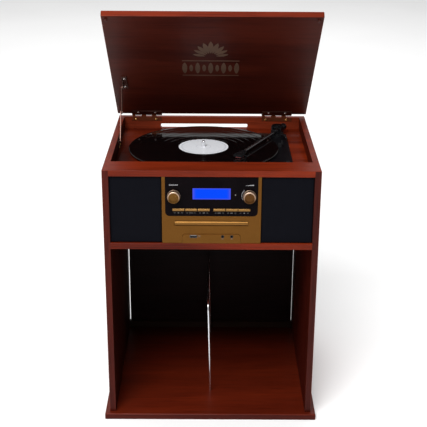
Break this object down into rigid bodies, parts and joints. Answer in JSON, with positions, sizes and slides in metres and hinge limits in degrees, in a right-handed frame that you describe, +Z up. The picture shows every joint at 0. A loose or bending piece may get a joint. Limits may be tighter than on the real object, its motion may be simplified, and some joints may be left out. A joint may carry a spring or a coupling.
{
  "type": "radio phonograph console",
  "caption": "Gloss wooden radio phonograph: turntable well under a hinged lid, control panel between the speakers, open record bay below with a wire divider.",
  "frame": {"origin": "bottom centre of the base board", "axes": "+Z up, +X to the right seen from the front, the front with the controls faces -Y"},
  "size_m": [0.42, 0.386, 0.7909],
  "materials": {
    "gloss_mahogany": "high-gloss red-brown lacquer over mahogany veneer",
    "hardboard": "smooth dark hardboard",
    "raw_board": "plain fibreboard",
    "zinc_steel": "zinc-plated steel",
    "chrome_wire": "polished chrome wire",
    "speaker_cloth": "blue-black woven speaker cloth",
    "paper_cone": "pressed paper",
    "gold_aluminium": "satin champagne-gold anodised",
    "smoked_acrylic": "gloss black tinted acrylic",
    "lcd_blue": "back-lit blue liquid-crystal display",
    "circuit_laminate": "green circuit laminate",
    "black_plastic": "satin black moulded plastic",
    "usb_shell": "plated steel shell",
    "transformer_iron": "laminated iron and copper",
    "platter_metal": "pressed aluminium, dark finish",
    "belt_rubber": "black rubber",
    "pulley_brass": "turned brass",
    "record_vinyl": "grooved black vinyl",
    "label_paper": "printed paper label",
    "red_cartridge": "red moulded plastic"
  },
  "bodies": {
    "cabinet": {"arm_rest": "black_plastic", "arm_turret": "black_plastic", "back_cleat": "raw_board", "back_panel_lower": "hardboard", "back_panel_upper": "gloss_mahogany", "base_board": "gloss_mahogany", "bay_ceiling_shelf": "gloss_mahogany", "board_switches": "black_plastic", "cabinet_screws": "zinc_steel", "cd_drive_housing": "zinc_steel", "circuit_board": "circuit_laminate", "deck_board": "gloss_mahogany", "display_window": "smoked_acrylic", "drive_belt": "belt_rubber", "fascia": "gold_aluminium", "front_baffle": "raw_board", "front_jacks": "black_plastic", "grille_left": "speaker_cloth", "grille_right": "speaker_cloth", "hinge_cabinet_leaves": "zinc_steel", "hinge_pins": "zinc_steel", "lcd_panel": "lcd_blue", "motor": "zinc_steel", "power_transformer": "transformer_iron", "rear_connector_plate": "black_plastic", "record_divider": "chrome_wire", "side_panel_left": "gloss_mahogany", "side_panel_right": "gloss_mahogany", "speaker_cones": "paper_cone", "speaker_frames": "zinc_steel", "spindle": "zinc_steel", "stay_wall_bracket": "zinc_steel", "top_front_rail": "gloss_mahogany", "turntable_plate": "black_plastic", "usb_socket": "usb_shell"},
    "platter": {"platter": "platter_metal", "record": "record_vinyl", "record_label": "label_paper"},
    "motor_pulley": {"motor_pulley": "pulley_brass"},
    "arm_yoke": {"arm_yoke": "black_plastic"},
    "tonearm": {"tonearm": "black_plastic", "stylus_cartridge": "red_cartridge"},
    "cue_lever": {"cue_lever": "black_plastic"},
    "speed_selector": {"speed_selector": "black_plastic"},
    "volume_knob": {"volume_knob": "gold_aluminium"},
    "tuning_knob": {"tuning_knob": "gold_aluminium"},
    "cd_tray": {"cd_tray": "gold_aluminium"},
    "lid": {"lid": "gloss_mahogany", "hinge_lid_leaves": "zinc_steel", "lid_screws": "zinc_steel", "stay_lid_bracket": "zinc_steel", "lid_bumpers": "belt_rubber"},
    "stay_upper_arm": {"stay_upper_arm": "zinc_steel"},
    "stay_lower_arm": {"stay_lower_arm": "zinc_steel"},
    "key_1": {"key_1": "gold_aluminium"},
    "key_2": {"key_2": "gold_aluminium"},
    "key_3": {"key_3": "gold_aluminium"},
    "key_4": {"key_4": "gold_aluminium"},
    "key_5": {"key_5": "gold_aluminium"},
    "key_6": {"key_6": "gold_aluminium"}
  },
  "joints": [
    {"name": "lid_hinge", "type": "hinge", "parent": "cabinet", "child": "lid", "pos_m": [0, 0.1835, 0.5253], "axis": [-1, 0, 0], "range_deg": [-43.5, 0]},
    {"name": "stay_lower_pivot", "type": "hinge", "parent": "cabinet", "child": "stay_lower_arm", "pos_m": [-0.18605, 0.0435, 0.5063], "axis": [-1, 0, 0], "range_deg": [-0.01, 52.91]},
    {"name": "stay_upper_pivot", "type": "hinge", "parent": "lid", "child": "stay_upper_arm", "pos_m": [-0.18415, 0.0828, 0.60804], "axis": [-1, 0, 0], "range_deg": [-55.49, 0.01]},
    {"name": "platter_spin", "type": "hinge", "parent": "cabinet", "child": "platter", "pos_m": [-0.0165, 0.024, 0.5], "axis": [0, 0, -1], "continuous": true},
    {"name": "motor_pulley_spin", "type": "hinge", "parent": "cabinet", "child": "motor_pulley", "pos_m": [-0.0945, 0.024, 0.49], "axis": [0, 0, -1], "continuous": true},
    {"name": "arm_swing", "type": "hinge", "parent": "cabinet", "child": "arm_yoke", "pos_m": [0.138, 0.122, 0.5], "axis": [0, 0, 1], "range_deg": [-13.2, 26.65]},
    {"name": "arm_lift", "type": "hinge", "parent": "arm_yoke", "child": "tonearm", "pos_m": [0.138, 0.122, 0.508], "axis": [-0.8938, 0.4485, 0], "range_deg": [0, 3.5]},
    {"name": "cue_lever_hinge", "type": "hinge", "parent": "cabinet", "child": "cue_lever", "pos_m": [0.1531, 0.104, 0.502], "axis": [-1, 0, 0], "range_deg": [0, 50]},
    {"name": "speed_selector_slide", "type": "slide", "parent": "cabinet", "child": "speed_selector", "axis": [0, 1, 0], "range_m": [0, 0.01]},
    {"name": "volume_turn", "type": "hinge", "parent": "cabinet", "child": "volume_knob", "pos_m": [0.0697, -0.185, 0.4706], "axis": [0, 1, 0], "range_deg": [-150, 150]},
    {"name": "tuning_turn", "type": "hinge", "parent": "cabinet", "child": "tuning_knob", "pos_m": [-0.0697, -0.185, 0.4706], "axis": [0, 1, 0], "continuous": true},
    {"name": "cd_tray_slide", "type": "slide", "parent": "cabinet", "child": "cd_tray", "axis": [0, -1, 0], "range_m": [0, 0.122]},
    {"name": "key_1_press", "type": "slide", "parent": "cabinet", "child": "key_1", "axis": [0, 1, 0], "range_m": [0, 0.0011], "stiffness_N_per_m": 800, "springref_m": -0.0006},
    {"name": "key_2_press", "type": "slide", "parent": "cabinet", "child": "key_2", "axis": [0, 1, 0], "range_m": [0, 0.0011], "stiffness_N_per_m": 800, "springref_m": -0.0006},
    {"name": "key_3_press", "type": "slide", "parent": "cabinet", "child": "key_3", "axis": [0, 1, 0], "range_m": [0, 0.0011], "stiffness_N_per_m": 800, "springref_m": -0.0006},
    {"name": "key_4_press", "type": "slide", "parent": "cabinet", "child": "key_4", "axis": [0, 1, 0], "range_m": [0, 0.0011], "stiffness_N_per_m": 800, "springref_m": -0.0006},
    {"name": "key_5_press", "type": "slide", "parent": "cabinet", "child": "key_5", "axis": [0, 1, 0], "range_m": [0, 0.0011], "stiffness_N_per_m": 800, "springref_m": -0.0006},
    {"name": "key_6_press", "type": "slide", "parent": "cabinet", "child": "key_6", "axis": [0, 1, 0], "range_m": [0, 0.0011], "stiffness_N_per_m": 800, "springref_m": -0.0006}
  ],
  "couplings": [
    {"joint": "stay_lower_pivot", "follows": "lid_hinge", "ratio": -1.2162},
    {"joint": "stay_upper_pivot", "follows": "lid_hinge", "ratio": 1.2755},
    {"joint": "motor_pulley_spin", "follows": "platter_spin", "ratio": 9.411}
  ]
}
